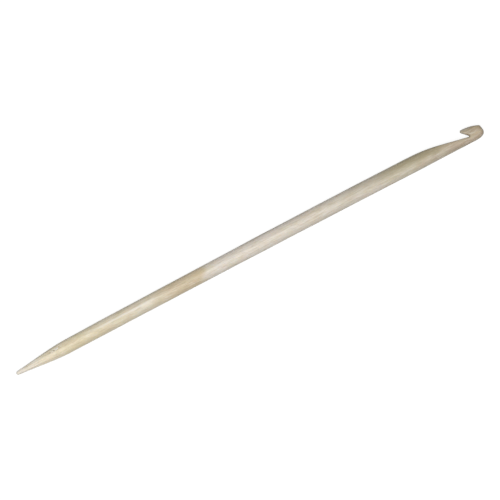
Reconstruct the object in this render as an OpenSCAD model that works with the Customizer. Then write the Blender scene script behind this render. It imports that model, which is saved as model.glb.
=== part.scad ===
// Crochet hook, carved in one piece from a single length of bone, with a pointed tail.
// It lies on its side: +X runs from the tail point to the nose, the lip opens towards +Y,
// and Z = 0 is the surface that it lies on. The origin is under the middle of its length.
// The model holds the bone as two regions that meet face to face where the throat's slope begins,
// so that the notch under the lip stays open in the collision shape.

/* [Overall] */
// Length from the tip of the tail point to the nose
hook_length = 160; // [120:1:240]
// Diameter of the working shaft, which is the hook's size
shaft_d = 5; // [4:0.25:8]
// Length of the working shaft, the true cylinder behind the throat slope
shaft_length = 20; // [8:1:40]

/* [Handle and tail point] */
// Diameter of the handle where the tail point begins
tail_d = 4.4; // [3:0.1:8]
// Length of the tail point
point_length = 18; // [8:0.5:30]
// Diameter of the blunt tip, before its end is rounded
tip_d = 1.2; // [0.8:0.1:2.4]
// Fullness of the tail point where it joins the handle, from slim at 1 to stout at 2.5
point_fullness = 1.5; // [1:0.05:2.5]

/* [Throat] */
// Length of the slope, from the working shaft to the root of the throat
slope_length = 19.5; // [12:0.5:30]
// Length over which the slope eases off the working shaft
ease_length = 10; // [2:0.5:12]
// Bone left between the root of the throat and the belly
neck_thickness = 2; // [1.2:0.05:2.4]
// Radius at the root of the throat
root_r = 0.2; // [0.15:0.05:0.4]

/* [Head] */
// Length of the head, from the root of the throat to the nose
head_length = 4.65; // [3.5:0.05:8]
// Angle of the throat's front wall to the shaft
lip_angle = 45; // [38:1:60]
// Radius of the rounded end of the lip
lip_r = 0.5; // [0.3:0.05:0.6]
// How far the top of the lip lies below the line of the shaft
lip_drop = 0.05; // [0:0.05:0.4]
// How far the crown would fall from the lip to the line of the nose
crown_fall = 1.5; // [0.8:0.1:2]
// Radius where the crown turns into the front face
brow_r = 0.6; // [0.3:0.1:1]
// Lean of the front face from upright
front_lean = 13; // [5:1:20]
// How far the foot of the front face lies below the shaft's axis
front_foot = 0.6; // [0:0.1:1]
// How much less the head's radius is than the shaft's where its dome begins, so that loops slip off
head_relief = 0.05; // [0:0.01:0.2]
// Length of the dome at the nose
nose_length = 4; // [2:0.1:5]
// Bluntness of the dome, where 2 is an ellipse
nose_bluntness = 3; // [2:0.25:4]
// Thickness of the head across its side flats
head_width = 4; // [3:0.1:5]
// Distance from the nose back to where the side flats reach their full depth
flat_length = 7; // [5:0.5:10]
// Length over which the side flats run out into the round shaft
runout_length = 11; // [6:0.5:15]

/* [Hidden] */
$fn = 96;
bone = [0.86, 0.83, 0.76];
arc_steps = 12;
curve_steps = 16;
past = 1; // how far a cutter runs past the bone

shaft_r = shaft_d / 2;
tail_r = tail_d / 2;
tip_r = tip_d / 2;
head_r = shaft_r - head_relief;
nose_x = hook_length / 2;
tail_x = -hook_length / 2;
point_x = tail_x + point_length;

// Root of the throat: a circle that just reaches root_x, over the bone that is left.
root_x = nose_x - head_length;
root = [root_x - root_r, neck_thickness + root_r - shaft_r];
slope_x = root_x - slope_length;
shaft_x = slope_x - shaft_length;

// The slope runs from a corner on the line of the shaft to the underside of the root circle.
// The easing is the arc that rounds that corner off, as far behind it as in front of it.
corner = [slope_x + ease_length / 2, shaft_r];
to_root = root - corner;
slope_angle = asin(root_r / norm(to_root)) - atan2(to_root.y, to_root.x);
ease_r = ease_length / 2 / tan(slope_angle / 2);
ease = [slope_x, shaft_r - ease_r];

// The front wall leaves the root circle at lip_angle, and the lip circle touches it from the front.
wall_normal = [sin(lip_angle), cos(lip_angle)];
wall_foot = root + (root_r + lip_r) * wall_normal;
lip_y = shaft_r - lip_drop - lip_r;
lip = [wall_foot.x - (lip_y - wall_foot.y) / tan(lip_angle), lip_y];

// The crown's arc sets out level from the top of the lip.
crown_run = nose_x - lip.x;
crown_r = (crown_run * crown_run + crown_fall * crown_fall) / (2 * crown_fall);
crown = [lip.x, lip.y + lip_r - crown_r];

// The brow circle touches the crown's arc and the front face from inside.
front_normal = [cos(front_lean), sin(front_lean)];
brow_run = front_normal * ([nose_x, -front_foot] - crown) - brow_r;
brow_angle = front_lean + acos(brow_run / (crown_r - brow_r));
brow = crown + (crown_r - brow_r) * [cos(brow_angle), sin(brow_angle)];

function arc(centre, r, from, to) = [for (i = [0:arc_steps])
    let (a = from + (to - from) * i / arc_steps)
    centre + r * [cos(a), sin(a)]];
// Eases from 0 to 1 as u does, and is level at both ends
function eased(u) = u * u * (3 - 2 * u);
// Radius of the tail point, where u is 0 at its tip and 1 at the handle: slim at first, then swelling
function point_radius(u) = tip_r + (tail_r - tip_r) * (eased(u) + 1 - pow(1 - u, point_fullness)) / 2;
// Radius of the nose's dome, where u is 0 at its foot and 1 at the nose
function dome_radius(u) = head_r * pow(max(0, 1 - pow(u, nose_bluntness)), 1 / nose_bluntness);
// Half of the thickness that a side flat leaves, where u is 0 at the round shaft and 1 at full depth
function flat_half(u) = shaft_r + (head_width / 2 - shaft_r) * eased(u);

// A round region of the blank, turned about the hook's axis from [radius, x] points
module turned(outline) {
    rotate([0, 90, 0])
        rotate_extrude()
            polygon(outline);
}

// Everything above the hook's outline: down the slope, round the root, the lip, the crown and the brow,
// and down the front face to its foot
module outline_cut() {
    sky = shaft_r + past;
    linear_extrude(shaft_d + 2 * past, center = true)
        polygon(concat(
            [[slope_x, sky]],
            arc(ease, ease_r, 90, 90 - slope_angle),
            arc(root, root_r, 270 - slope_angle, 450 - lip_angle),
            arc(lip, lip_r, 270 - lip_angle, 90),
            arc(crown, crown_r, 90, brow_angle),
            arc(brow, brow_r, brow_angle, front_lean),
            [[nose_x, -front_foot], [nose_x + past, -front_foot], [nose_x + past, sky]]));
}

// The waste over the head's upper cheek, which leaves the side flat and its runout
module cheek_cut() {
    full_x = nose_x - flat_length;
    start_x = full_x - runout_length;
    wide = shaft_r + past;
    runout = [for (i = [0:curve_steps])
        let (u = i / curve_steps)
        [start_x + runout_length * u, flat_half(u)]];
    rotate([90, 0, 0])
        linear_extrude(shaft_d + 2 * past, center = true)
            polygon(concat(runout, [[nose_x + past, head_width / 2], [nose_x + past, wide], [start_x, wide]]));
}

// Tail point, handle and working shaft
module shaft() {
    round_end = [for (a = [0:15:75]) [tip_r * sin(a), tail_x + tip_r * (1 - cos(a))]];
    point_side = [for (i = [1:curve_steps])
        let (u = i / curve_steps, first = tip_r / point_length)
        [point_radius(first + (1 - first) * u), point_x - (point_length - tip_r) * (1 - u)]];
    color(bone)
        translate([0, 0, shaft_r])
            turned(concat(round_end, point_side, [[shaft_r, shaft_x], [shaft_r, slope_x], [0, slope_x]]));
}

// Throat and head, cut from the domed end of the blank
module hook_head() {
    dome = [for (i = [0:curve_steps])
        let (u = sin(90 * i / curve_steps))
        [dome_radius(u), nose_x - nose_length * (1 - u)]];
    color(bone)
        translate([0, 0, shaft_r])
            difference() {
                turned(concat([[0, slope_x], [shaft_r, slope_x]], dome));
                outline_cut();
                cheek_cut();
                mirror([0, 0, 1]) cheek_cut();
            }
}

shaft();
hook_head();
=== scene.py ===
import math

import bpy
import numpy as np
from mathutils import Matrix, Vector


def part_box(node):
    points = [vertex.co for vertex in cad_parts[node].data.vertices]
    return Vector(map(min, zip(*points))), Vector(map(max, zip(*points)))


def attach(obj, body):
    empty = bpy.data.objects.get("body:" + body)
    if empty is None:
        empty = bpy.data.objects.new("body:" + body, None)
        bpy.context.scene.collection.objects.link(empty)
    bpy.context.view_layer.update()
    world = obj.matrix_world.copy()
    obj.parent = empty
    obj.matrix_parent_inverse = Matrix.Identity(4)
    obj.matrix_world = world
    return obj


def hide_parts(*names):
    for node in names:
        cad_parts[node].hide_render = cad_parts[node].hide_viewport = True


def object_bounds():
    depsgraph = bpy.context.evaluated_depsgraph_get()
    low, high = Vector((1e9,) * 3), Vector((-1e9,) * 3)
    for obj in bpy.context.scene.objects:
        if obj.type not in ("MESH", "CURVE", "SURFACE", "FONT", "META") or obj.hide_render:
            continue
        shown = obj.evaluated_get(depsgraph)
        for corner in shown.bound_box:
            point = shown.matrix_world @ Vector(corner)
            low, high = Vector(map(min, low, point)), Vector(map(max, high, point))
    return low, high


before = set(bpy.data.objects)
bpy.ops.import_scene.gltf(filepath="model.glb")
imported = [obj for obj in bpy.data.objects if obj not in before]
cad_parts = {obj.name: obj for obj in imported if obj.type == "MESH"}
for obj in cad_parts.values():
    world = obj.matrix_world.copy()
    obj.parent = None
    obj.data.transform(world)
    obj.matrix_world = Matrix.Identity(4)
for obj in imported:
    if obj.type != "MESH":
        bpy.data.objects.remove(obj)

# The hook is carved in millimetres and scaled to metres when its mesh is made.
MM = 0.001

cad_low, cad_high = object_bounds()
shaft_low, shaft_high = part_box("shaft")
_, head_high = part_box("hook_head")

# Places that the frame gives, in millimetres, measured from the shaft's axis
TAIL_X = shaft_low.x / MM
SLOPE_X = shaft_high.x / MM
NOSE_X = round(head_high.x / MM, 1)
SHAFT_R = (shaft_high.y - shaft_low.y) / 2 / MM
AXIS_Z = (shaft_low.z + shaft_high.z) / 2 / MM

# Tail point and handle
TAIL_R = 2.2            # radius of the handle where the point begins
TIP_R = 0.6
POINT_LENGTH = 18.0
POINT_FULLNESS = 1.5    # how stout the point is where it joins the handle
SHAFT_LENGTH = 20.0     # the even working shaft behind the throat's slope

# Throat
HEAD_LENGTH = 4.65      # from the root of the throat to the nose
ROOT_X = NOSE_X - HEAD_LENGTH
ROOT_R = 0.2
NECK = 2.0              # bone left between the root and the belly
EASE_LENGTH = 10.0      # length over which the slope eases off the shaft
LIP_ANGLE = 45.0        # degrees of the throat's front wall to the shaft
LIP_R = 0.5
LIP_DROP = 0.0          # how far the top of the lip lies below the line of the shaft

# Head
CROWN_FALL = 1.5        # how far the crown would fall from the lip to the nose
BROW_R = 0.6
FRONT_LEAN = 13.0       # degrees of the front face from upright
FRONT_FOOT = 0.6        # how far its foot lies below the shaft's axis
HEAD_R = 2.46
NOSE_LENGTH = 4.0
NOSE_BLUNTNESS = 3.0    # 2 is an ellipse
CHEEK_HALF = 2.0        # half of the thickness across the side flats
CHEEK_LENGTH = 7.0
CHEEK_RUNOUT = 11.0

# The side outline keeps clear of the bone where it doesn't cut it.
CLEAR = 4.0
LEAD_IN = 24.0          # length over which it comes down to the slope's start
LEAD_IN_GAP = 0.1


def eased(u):
    """0 to 1 as u goes from 0 to 1, level at both ends."""
    u = np.clip(u, 0.0, 1.0)
    return u * u * (3 - 2 * u)


# ---------------------------------------------------------------- outlines

def arc(centre, r, start, end, steps=14):
    angles = np.radians(np.linspace(start, end, steps))
    return np.column_stack([centre[0] + r * np.cos(angles), centre[1] + r * np.sin(angles)])


def side_outline():
    """The hook seen square on: over slope, throat and head, and back well below the belly."""
    below = -SHAFT_R - CLEAR
    above = SHAFT_R + CLEAR / 2
    root = np.array([ROOT_X - ROOT_R, NECK + ROOT_R - SHAFT_R])
    corner = np.array([SLOPE_X + EASE_LENGTH / 2, SHAFT_R])
    to_root = root - corner
    past_root = math.asin(ROOT_R / np.hypot(*to_root))
    slope = math.degrees(past_root - math.atan2(to_root[1], to_root[0]))
    ease_r = EASE_LENGTH / 2 / math.tan(math.radians(slope / 2))
    wall = np.array([math.sin(math.radians(LIP_ANGLE)), math.cos(math.radians(LIP_ANGLE))])
    foot = root + (ROOT_R + LIP_R) * wall
    lip_y = SHAFT_R - LIP_DROP - LIP_R
    lip = np.array([foot[0] - (lip_y - foot[1]) / math.tan(math.radians(LIP_ANGLE)), lip_y])
    crown_run = NOSE_X - lip[0]
    crown_r = (crown_run ** 2 + CROWN_FALL ** 2) / (2 * CROWN_FALL)
    crown = np.array([lip[0], lip[1] + LIP_R - crown_r])
    front = np.array([math.cos(math.radians(FRONT_LEAN)), math.sin(math.radians(FRONT_LEAN))])
    brow_run = front @ (np.array([NOSE_X, -FRONT_FOOT]) - crown) - BROW_R
    brow_angle = FRONT_LEAN + math.degrees(math.acos(brow_run / (crown_r - BROW_R)))
    turn = math.radians(brow_angle)
    brow = crown + (crown_r - BROW_R) * np.array([math.cos(turn), math.sin(turn)])
    return np.vstack([
        [[TAIL_X - CLEAR, below], [TAIL_X - CLEAR, above]],
        [[SLOPE_X - LEAD_IN, above], [SLOPE_X - 1, SHAFT_R + LEAD_IN_GAP]],
        arc((SLOPE_X, SHAFT_R - ease_r), ease_r, 90, 90 - slope),
        arc(root, ROOT_R, 270 - slope, 450 - LIP_ANGLE),
        arc(lip, LIP_R, 270 - LIP_ANGLE, 90),
        arc(crown, crown_r, 90, brow_angle),
        arc(brow, BROW_R, brow_angle, FRONT_LEAN),
        [[NOSE_X, -FRONT_FOOT], [NOSE_X + 1, -SHAFT_R], [NOSE_X + 1, below]],
    ])


def turned_outline():
    """The round blank's outline, as (x, radius), closed below the axis."""
    tip = [(TAIL_X + TIP_R * (1 - math.cos(a)), TIP_R * math.sin(a))
           for a in np.radians(np.arange(0, 76, 15))]
    point = []
    for u in np.linspace(TIP_R / POINT_LENGTH, 1, 18)[1:]:
        radius = TIP_R + (TAIL_R - TIP_R) * (eased(u) + 1 - (1 - u) ** POINT_FULLNESS) / 2
        point.append((TAIL_X + POINT_LENGTH * u, radius))
    dome = []
    for u in np.sin(np.radians(np.linspace(0, 90, 20))):
        radius = HEAD_R * max(0.0, 1 - u ** NOSE_BLUNTNESS) ** (1 / NOSE_BLUNTNESS)
        dome.append((NOSE_X - NOSE_LENGTH * (1 - u), radius))
    shaft = [(SLOPE_X - SHAFT_LENGTH, SHAFT_R), (SLOPE_X, SHAFT_R)]
    return np.array(tip + point + shaft + dome + [(NOSE_X, -1.0), (TAIL_X, -1.0)])


def signed_distance(outline, px, py):
    """Distance to a closed outline, below 0 inside it."""
    shape = np.broadcast(px, py).shape
    px = np.broadcast_to(px, shape).ravel()
    py = np.broadcast_to(py, shape).ravel()
    nearest = np.full(px.size, np.inf)
    inside = np.zeros(px.size, bool)
    for a, b in zip(outline, np.roll(outline, -1, 0)):
        ex, ey = b - a
        length_squared = max(ex * ex + ey * ey, 1e-12)     # two points may be the same
        along = np.clip(((px - a[0]) * ex + (py - a[1]) * ey) / length_squared, 0, 1)
        nearest = np.minimum(nearest, (px - a[0] - along * ex) ** 2 + (py - a[1] - along * ey) ** 2)
        if ey != 0:
            crosses = ((a[1] > py) != (b[1] > py)) & (px < a[0] + (py - a[1]) * ex / ey)
            inside ^= crosses
    return (np.sqrt(nearest) * np.where(inside, -1, 1)).reshape(shape)


# ---------------------------------------------------------------- the carved form

SIDE = side_outline()
TURNED = turned_outline()

# How far the polish rounds the edges of the throat and the head
SLOPE_EDGE = 0.55
EDGE_FULL = 1.2         # distance from the hook's middle plane where it rounds them in full
EDGE_LEAST = 0.15       # share of that in the middle plane, which the outline is seen by
CHEEK_EDGE = 0.7        # and the edges of the side flats
CHEEK_EDGE_RUN = 4.0    # length over which that sets in
SHARPEST = 0.01

# The bone's natural bow
BOW_TOP = 14.0          # where it stands highest towards the lip's side
BOW_RISE = 0.16
BOW_TAIL = 0.35         # how far it falls by the tail point's shoulder
BOW_HOLD = 18.0         # how far ahead of its top it keeps its rise
BOW_FADE = 30.0         # length over which it then fades out
BOW_REST = -0.02        # where it leaves the throat and the head

# Depths that the file and the polishing cloth leave
SWELL = 0.014           # slow, along the hook
RIPPLE = 0.010          # short, and winding round it
TWIST = 0.012           # longer, and winding the other way
OVAL = 0.022            # out of round
FACET = 0.016           # strokes of the file
FACETS = 9              # to a turn
SWELL_WAVES = (5.3, 17.0)   # lengths of those waves, each over 2 pi
RIPPLE_WAVE = 2.9
TWIST_WAVE = 9.1
OVAL_WAVE = 31.0
FACET_WAVE = 6.0
FACET_SWAY = 0.4        # how far the strokes sway round the hook, in radians
SHAFT_FACETS = 0.35     # share of them that the polish leaves on the shaft
POINT_FACETS = 1.6      # and what the tail point shows on top of that
FACETS_FROM = 8.0       # how far from the tip they begin to fade
STILL_TIP = 4.0         # lengths at both ends over which it all dies away
STILL_HEAD = 6.0


def bow(x):
    """The centre line's sideways wander, towards +Y."""
    to_tail = (x - BOW_TOP) / (TAIL_X + POINT_LENGTH - BOW_TOP)
    behind = BOW_RISE - BOW_TAIL * to_tail ** 2
    ahead = BOW_RISE * (1 - eased((x - BOW_TOP - BOW_HOLD) / BOW_FADE))
    return BOW_REST + np.where(x < BOW_TOP, behind, ahead)


def hand_work(x, angle):
    """Small unevenness of the surface, where the angle goes round the hook."""
    swell = SWELL * np.sin(x / SWELL_WAVES[0] + 0.6) * np.sin(x / SWELL_WAVES[1] + 1.9)
    ripple = RIPPLE * np.sin(x / RIPPLE_WAVE + 2 * angle)
    twist = TWIST * np.sin(x / TWIST_WAVE - angle + 0.8)
    oval = OVAL * np.cos(2 * angle + x / OVAL_WAVE)
    facets = FACET * np.cos(FACETS * angle + FACET_SWAY * np.sin(x / FACET_WAVE))
    point = 1 - eased((x - TAIL_X - FACETS_FROM) / (POINT_LENGTH * 0.8))
    ends = eased((x - TAIL_X) / STILL_TIP) * (1 - eased((x - ROOT_X + STILL_HEAD) / STILL_HEAD))
    return ends * (swell + ripple + twist + oval + facets * (SHAFT_FACETS + POINT_FACETS * point))


def smooth_max(a, b, k):
    """The larger of two fields, with the edge between them rounded over about k."""
    return np.maximum(a, b) + np.maximum(k - np.abs(a - b), 0) ** 2 / (4 * k)


def carved(x, y, z):
    """The hook's field, below 0 in the bone. Millimetres, from the shaft's axis."""
    y = y - bow(x)
    radius = np.hypot(y, z)
    body = signed_distance(TURNED, x, radius) - hand_work(x, np.arctan2(z, y))
    edge = SLOPE_EDGE * np.clip(np.abs(z) / EDGE_FULL, EDGE_LEAST, 1)
    body = smooth_max(body, signed_distance(SIDE, x, y), edge)
    full_x = NOSE_X - CHEEK_LENGTH
    run = x - full_x + CHEEK_RUNOUT
    half = SHAFT_R + (CHEEK_HALF - SHAFT_R) * eased(run / CHEEK_RUNOUT)
    return smooth_max(body, np.abs(z) - half, CHEEK_EDGE * eased(run / CHEEK_EDGE_RUN) + SHARPEST)


# Spacing of the grid's planes
COARSE = 0.4            # along the handle and the shaft
FINE = 0.1              # along the tip and the head
ACROSS = 0.125
FINE_TIP = 2.0          # lengths of the two fine stretches
FINE_HEAD = 9.0


def grid_lines():
    """Grid planes, close together where the form is fine. None lies on the hook's axis."""
    tip_end, head_start = TAIL_X + FINE_TIP, NOSE_X - FINE_HEAD
    xs = np.concatenate([
        np.arange(TAIL_X - 0.35, tip_end, FINE),
        np.arange(tip_end, SLOPE_X, COARSE),
        np.arange(SLOPE_X, head_start, 2 * FINE),
        np.arange(head_start, NOSE_X + 0.4, FINE),
    ])
    reach = SHAFT_R + 0.45
    ys = np.arange(-reach, reach, ACROSS)
    return xs, ys, ys + ACROSS / 3


def surface_net(field, lines):
    """Vertices and quads of the surface where the field is 0, a vertex to each cell it crosses."""
    xs, ys, zs = lines
    shape = field.shape
    cells = tuple(n - 1 for n in shape)
    total = np.zeros(cells + (3,))
    count = np.zeros(cells, np.int32)
    inside = field < 0
    edges = []
    for axis in range(3):
        low = [slice(None)] * 3
        high = [slice(None)] * 3
        low[axis], high[axis] = slice(0, -1), slice(1, None)
        low, high = tuple(low), tuple(high)
        crossing = np.argwhere(inside[low] != inside[high])
        i, j, k = crossing.T
        a = field[low][i, j, k]
        b = field[high][i, j, k]
        part = a / (a - b)
        place = np.column_stack([xs[i], ys[j], zs[k]])
        line = lines[axis]
        n = crossing[:, axis]
        place[:, axis] = line[n] + part * (line[n + 1] - line[n])
        others = [o for o in range(3) if o != axis]
        around = []
        for du, dv in ((-1, -1), (0, -1), (0, 0), (-1, 0)):
            cell = crossing.copy()
            cell[:, others[0]] += du
            cell[:, others[1]] += dv
            np.add.at(total, tuple(cell.T), place)
            np.add.at(count, tuple(cell.T), 1)
            around.append(cell)
        edges.append((around, a < 0, axis))
    used = count > 0
    index = np.full(cells, -1, np.int64)
    index[used] = np.arange(used.sum())
    points = total[used] / count[used][:, None]
    quads = []
    for around, outward, axis in edges:
        quad = np.column_stack([index[tuple(cell.T)] for cell in around])
        flip = outward if axis == 1 else ~outward      # so that every face looks outward
        quad[flip] = quad[flip][:, ::-1]
        quads.append(quad)
    return points, np.vstack(quads)


ROUNDS = 3
PROBE = 0.01            # distance over which the field's slope is taken
LEAST_SLOPE = 0.2       # keeps a point from being thrown where the field is nearly flat
LONGEST_MOVE = 0.08     # in one round


def pull_to_surface(points):
    """Moves each point along the field's slope until it lies on the surface."""
    for _ in range(ROUNDS):
        value = carved(*points.T)
        rises = [carved(*(points + PROBE * way).T) - carved(*(points - PROBE * way).T)
                 for way in np.eye(3)]
        slope = np.column_stack(rises) / (2 * PROBE)
        size = np.maximum((slope ** 2).sum(1), LEAST_SLOPE)
        move = slope * (value / size)[:, None]
        length = np.maximum(np.linalg.norm(move, axis=1), 1e-9)
        points = points - move * np.minimum(1, LONGEST_MOVE / length)[:, None]
    return points


def carve_hook():
    lines = grid_lines()
    field = carved(lines[0][:, None, None], lines[1][None, :, None], lines[2][None, None, :])
    points, quads = surface_net(field, lines)
    points = pull_to_surface(points)
    points[:, 2] += AXIS_Z
    mesh = bpy.data.meshes.new("carved_hook")
    mesh.from_pydata((points * MM).tolist(), [], quads.tolist())
    mesh.validate()
    mesh.update()
    mesh.polygons.foreach_set("use_smooth", [True] * len(mesh.polygons))
    hook = bpy.data.objects.new("carved_hook", mesh)
    bpy.context.scene.collection.objects.link(hook)
    return hook


# ---------------------------------------------------------------- bone

class Nodes:
    """Short hand for making a material's nodes."""

    def __init__(self, name):
        self.material = bpy.data.materials.new(name)
        self.material.use_nodes = True
        self.tree = self.material.node_tree
        self.tree.nodes.clear()

    def add(self, kind, inputs=None, **settings):
        node = self.tree.nodes.new(kind)
        for key, value in settings.items():
            setattr(node, key, value)
        for key, value in (inputs or {}).items():
            if isinstance(value, bpy.types.NodeSocket):
                self.tree.links.new(value, node.inputs[key])
            else:
                node.inputs[key].default_value = value
        return node

    def math(self, operation, a, b=0.0, clamp=False):
        node = self.add("ShaderNodeMath", {0: a, 1: b}, operation=operation, use_clamp=clamp)
        return node.outputs[0]

    def remap(self, value, low, high, to_low=0.0, to_high=1.0):
        """Goes from to_low to to_high as the value goes from low to high, and stops there."""
        inputs = {"Value": value, "From Min": low, "From Max": high,
                  "To Min": to_low, "To Max": to_high}
        return self.add("ShaderNodeMapRange", inputs).outputs["Result"]

    def noise(self, vector, scale, detail=3.0, roughness=0.5):
        inputs = {"Vector": vector, "Scale": scale, "Detail": detail, "Roughness": roughness}
        return self.add("ShaderNodeTexNoise", inputs).outputs["Fac"]

    def stretched(self, vector, along, across):
        """Coordinates in millimetres over a grain size along X and one across it."""
        size = (1 / MM / along, 1 / MM / across, 1 / MM / across)
        return self.add("ShaderNodeMapping", {"Vector": vector, "Scale": size}).outputs["Vector"]

    def ramp(self, value, stops):
        node = self.add("ShaderNodeValToRGB", {"Fac": value})
        ramp = node.color_ramp
        while len(ramp.elements) < len(stops):
            ramp.elements.new(0.5)
        for element, (place, colour) in zip(ramp.elements, stops):
            element.position = place
            element.color = (*linear(colour), 1)
        return node.outputs["Color"]

    def mix(self, factor, a, b):
        node = self.add("ShaderNodeMix", {"Factor": factor}, data_type="RGBA")
        for socket, value in ((node.inputs[6], a), (node.inputs[7], b)):
            if isinstance(value, bpy.types.NodeSocket):
                self.tree.links.new(value, socket)
            else:
                socket.default_value = (*linear(value), 1)
        return node.outputs[2]

    def tint(self, colour, mark, strength, tone):
        """Lays a tone over the colour where the mark shows."""
        return self.mix(self.math("MULTIPLY", mark, strength), colour, tone)


def linear(colour):
    """Linear values of an sRGB colour given from 0 to 255."""
    return [((c / 255 + 0.055) / 1.055) ** 2.4 if c > 10 else c / 255 / 12.92 for c in colour]


# Colours are sRGB from 0 to 255. The tone drifts along the hook: a white tip, a cream handle that
# turns tan and stops at a sharp change of tone, a pale middle and a tan head.
# This is partly the bone's own tone and partly painted shade: the lamp's light is painted as
# falling off from the tail towards the head.
TONE_AND_PAINTED_SHADE = [
    (0.00, (248, 246, 240)), (0.05, (238, 228, 203)), (0.14, (229, 217, 184)),
    (0.27, (227, 219, 199)), (0.34, (214, 199, 171)), (0.396, (211, 195, 165)),
    (0.408, (230, 223, 214)), (0.60, (224, 217, 206)), (0.77, (216, 208, 196)),
    (0.83, (202, 193, 172)), (0.91, (182, 169, 153)), (1.00, (165, 148, 124)),
]
WANDER = 0.002          # metres that the drift's places wander to either side

# Size of the marks along the hook and across it, in millimetres
GRAINS = {
    "cloud": (11, 5), "grain": (26, 1.6), "fine": (9, 0.32), "fibre": (3.0, 0.34),
    "pore": (1.6, 0.10), "torn": (0.7, 0.34),
}

# Marks all over the bone, each laid over the ones before it: its name, its size's name, the noise's
# scale, detail and roughness, the noise where the mark begins and is full, its strength and colour
MARKS = [
    ("blush", "cloud", 2.3, 2, 0.5, 0.45, 0.65, 0.20, (224, 198, 178)),
    ("olive", "cloud", 3.1, 2, 0.5, 0.50, 0.68, 0.26, (204, 200, 158)),
    ("streak", "grain", 1.0, 4, 0.6, 0.38, 0.66, 0.24, (206, 190, 158)),
    ("milky", "cloud", 1.7, 3, 0.5, 0.52, 0.72, 0.30, (240, 235, 224)),
    ("dark fibre", "fibre", 1.0, 2, 0.5, 0.54, 0.68, 0.28, (166, 152, 124)),
    ("pale fibre", "fibre", 1.0, 2, 0.5, 0.45, 0.32, 0.28, (248, 245, 238)),
    ("fleck", "fine", 1.0, 2, 0.5, 0.62, 0.72, 0.35, (170, 150, 116)),
    ("pore", "pore", 1.0, 1, 0.5, 0.70, 0.78, 0.45, (140, 120, 90)),
]

# Single marks. Places are in metres, and a pair says where a mark begins and where it is full.
# A painted highlight along the handle: its offset across the hook, its width, its ends and its
# colour
HIGHLIGHT_Y = 0.00042
HIGHLIGHT_SIDE = (0.0004, 0.0001)      # to either side of that
HIGHLIGHT_ENDS = ((-0.056, -0.050), (-0.028, -0.036))
HIGHLIGHT_TONE = (248, 244, 234)
TORN_SPOT = (-0.0662, 0.0008, 0.0043)
TORN_SIZE = (2.6, 0.75)                 # millimetres along the hook and across it
TORN_DARK = (176, 160, 130)
TORN_PALE = (255, 254, 250)
# Painted shade on the lip's side towards the head: where it lies across the hook, where it starts,
# where it fades and how strong it is, and its colour
SHADE_SIDE = (-0.0009, 0.0)
SHADE_START = (0.024, 0.054)
SHADE_FADE = (0.064, 0.071, 0.54, 0.12)    # and its strengths there
SHADE_TONE = (160, 150, 112)


def bone_material():
    n = Nodes("bone")
    place = n.add("ShaderNodeTexCoord").outputs["Object"]
    sides = n.add("ShaderNodeSeparateXYZ", {"Vector": place}).outputs
    sized = {name: n.stretched(place, *size) for name, size in GRAINS.items()}

    wander = n.remap(n.noise(sized["cloud"], 1.0, 2), 0.3, 0.7, -WANDER, WANDER)
    along = n.remap(n.math("ADD", sides["X"], wander), TAIL_X * MM, NOSE_X * MM)
    # The ramp gives the bone's tone along the hook together with the painted shade that darkens it
    # towards the head.
    colour = n.ramp(along, TONE_AND_PAINTED_SHADE)

    shown = {}
    for name, size, scale, detail, roughness, begins, full, strength, tone in MARKS:
        shown[name] = n.remap(n.noise(sized[size], scale, detail, roughness), begins, full)
        colour = n.tint(colour, shown[name], strength, tone)

    # A painted highlight: one long pale streak along the handle, ahead of the point. The fibre mask
    # below holds this painted highlight.
    highlight_side = n.math("ABSOLUTE", n.math("SUBTRACT", sides["Y"], HIGHLIGHT_Y))
    fibre = n.remap(highlight_side, *HIGHLIGHT_SIDE)
    for begins, full in HIGHLIGHT_ENDS:
        fibre = n.math("MULTIPLY", fibre, n.remap(sides["X"], begins, full))
    colour = n.tint(colour, fibre, 0.55, HIGHLIGHT_TONE)

    # A small rough spot on the shoulder of the tail point, where the file tore the grain
    spot = n.add("ShaderNodeVectorMath", {0: place, 1: TORN_SPOT}, operation="SUBTRACT").outputs[0]
    spot = n.add("ShaderNodeVectorMath", {0: n.stretched(spot, *TORN_SIZE)}, operation="LENGTH")
    spot = n.remap(spot.outputs["Value"], 1.0, 0.35)
    torn = n.noise(sized["torn"], 1.0, 1)
    colour = n.tint(colour, spot, n.remap(torn, 0.50, 0.60), TORN_DARK)
    colour = n.tint(colour, spot, n.remap(torn, 0.50, 0.40), TORN_PALE)

    # Painted shade: the side that faces the way the lip opens, away from the lamp, is darker
    # towards the head.
    painted_shade = n.remap(sides["X"], *SHADE_START)
    painted_shade = n.math("MULTIPLY", n.remap(sides["Y"], *SHADE_SIDE), painted_shade)
    colour = n.tint(colour, painted_shade, n.remap(sides["X"], *SHADE_FADE), SHADE_TONE)

    # Satin polish, with the grain and the pores just felt in it
    rough = n.remap(n.noise(sized["grain"], 2.0, 3), 0.3, 0.7, 0.42, 0.56)
    raised = n.math("MULTIPLY", n.noise(sized["fine"], 1.0, 3, 0.6), 0.5)
    height = n.math("SUBTRACT", raised, n.math("MULTIPLY", shown["pore"], 0.8))
    bump = n.add("ShaderNodeBump", {"Height": height, "Distance": 0.00002, "Strength": 0.6})
    shader = n.add("ShaderNodeBsdfPrincipled", {
        "Base Color": colour, "Roughness": rough, "Normal": bump.outputs["Normal"], "IOR": 1.5,
        "Specular IOR Level": 0.35, "Coat Weight": 0.05, "Coat Roughness": 0.22,
        "Subsurface Weight": 0.08, "Subsurface Radius": (1.0, 0.7, 0.45),
        "Subsurface Scale": 0.0007})
    n.add("ShaderNodeOutputMaterial", {"Surface": shader.outputs[0]})
    return n.material


# ---------------------------------------------------------------- floor, light and camera

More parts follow.
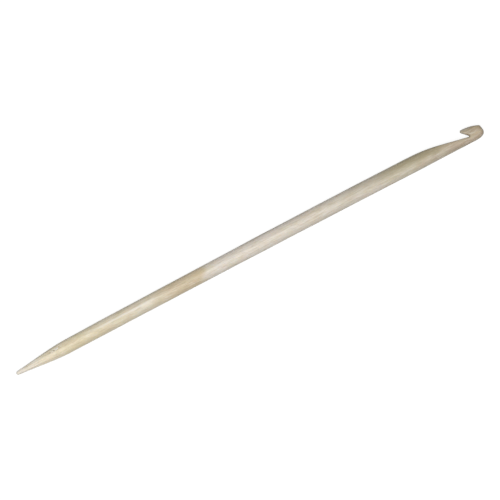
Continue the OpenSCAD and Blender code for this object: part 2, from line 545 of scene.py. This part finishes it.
# Metres, and turned degrees
FLOOR_HALF = 3.0
FLOOR_GREY = 0.26       # what the floor reflects of the lamp's light, which leaves the shadow
GLOW_NEAR = 0.84        # its own white under the hook, up to GLOW_FROM from it
GLOW_FROM = 0.15
GLOW_TO = 0.9           # from here on it is pure white, since the lamp's light falls off
LAMP_PLACE = (-0.12, -0.13, 1.15)
LAMP_SIDE = 0.75
LAMP_POWER = 11.5
LAMP_COLOUR = (1, 0.99, 0.975)
WORLD_LIGHT = 0.20      # strength of the white world, other than as the camera's background
VIEW_TURN = 27.68       # degrees that the hook climbs from the picture's horizontal
FRAME_FILL = 0.935      # the part of the frame's width that the hook spans
CAMERA_HEIGHT = 0.9
SENSOR = 36.0           # millimetres


def floor_material():
    """Pale grey with a white of its own, which only the camera and reflections see."""
    n = Nodes("white_floor")
    rays = n.add("ShaderNodeLightPath").outputs
    reflected = n.math("ADD", rays["Is Glossy Ray"], rays["Is Transmission Ray"])
    seen = n.math("ADD", rays["Is Camera Ray"], reflected, clamp=True)
    diffuse = n.add("ShaderNodeBsdfDiffuse", {"Color": (FLOOR_GREY, FLOOR_GREY, FLOOR_GREY, 1)})
    place = n.add("ShaderNodeTexCoord").outputs["Object"]
    reach = n.add("ShaderNodeVectorMath", {0: place}, operation="LENGTH").outputs["Value"]
    white = n.remap(reach, GLOW_FROM, GLOW_TO, GLOW_NEAR, 1.0)
    white = n.math("MULTIPLY", seen, white)
    glow = n.add("ShaderNodeEmission", {"Color": (1, 1, 1, 1), "Strength": white})
    both = n.add("ShaderNodeAddShader", {0: diffuse.outputs[0], 1: glow.outputs[0]})
    n.add("ShaderNodeOutputMaterial", {"Surface": both.outputs[0]})
    return n.material


def make_floor():
    mesh = bpy.data.meshes.new("floor")
    corners = [(x * FLOOR_HALF, y * FLOOR_HALF, 0) for x, y in ((-1, -1), (1, -1), (1, 1), (-1, 1))]
    mesh.from_pydata(corners, [], [(0, 1, 2, 3)])
    mesh.materials.append(floor_material())
    floor = bpy.data.objects.new("floor", mesh)
    floor.location.z = cad_low.z
    bpy.context.scene.collection.objects.link(floor)


def make_light():
    lamp = bpy.data.lights.new("key_light", "AREA")
    lamp.shape = "RECTANGLE"
    lamp.size = lamp.size_y = LAMP_SIDE
    lamp.energy = LAMP_POWER
    lamp.color = LAMP_COLOUR
    light = bpy.data.objects.new("key_light", lamp)
    light.location = LAMP_PLACE
    light.rotation_mode = "QUATERNION"
    light.rotation_quaternion = (-Vector(LAMP_PLACE)).to_track_quat("-Z", "Y")
    bpy.context.scene.collection.objects.link(light)

    world = bpy.data.worlds.new("studio")
    world.use_nodes = True
    nodes, links = world.node_tree.nodes, world.node_tree.links
    rays = nodes.new("ShaderNodeLightPath")
    strength = nodes.new("ShaderNodeMapRange")
    links.new(rays.outputs["Is Camera Ray"], strength.inputs["Value"])
    strength.inputs["To Min"].default_value = WORLD_LIGHT
    strength.inputs["To Max"].default_value = 1.0
    links.new(strength.outputs["Result"], nodes["Background"].inputs["Strength"])
    nodes["Background"].inputs["Color"].default_value = (1, 1, 1, 1)
    bpy.context.scene.world = world


def make_camera(hook):
    """Looks straight down, turned so that the hook climbs to the right in mid-picture."""
    turn = math.radians(-VIEW_TURN)
    right = np.array([math.cos(turn), math.sin(turn), 0])
    up = np.array([-math.sin(turn), math.cos(turn), 0])
    points = np.array([v.co for v in hook.data.vertices])
    low_r, high_r = (points @ right).min(), (points @ right).max()
    low_u, high_u = (points @ up).min(), (points @ up).max()
    middle = right * (low_r + high_r) / 2 + up * (low_u + high_u) / 2
    camera = bpy.data.cameras.new("camera")
    camera.sensor_width = SENSOR
    camera.lens = SENSOR * CAMERA_HEIGHT / ((high_r - low_r) / FRAME_FILL)
    camera.clip_start, camera.clip_end = 0.01, 20
    holder = bpy.data.objects.new("camera", camera)
    raised = Matrix.Translation((middle[0], middle[1], AXIS_Z * MM + CAMERA_HEIGHT))
    holder.matrix_world = raised @ Matrix.Rotation(turn, 4, "Z")
    bpy.context.scene.collection.objects.link(holder)
    bpy.context.scene.camera = holder


# ---------------------------------------------------------------- the scene

hook = carve_hook()
hook.data.materials.append(bone_material())
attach(hook, "root")
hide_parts("shaft", "hook_head")

make_floor()
make_light()
make_camera(hook)
bpy.context.scene.view_settings.view_transform = "Standard"
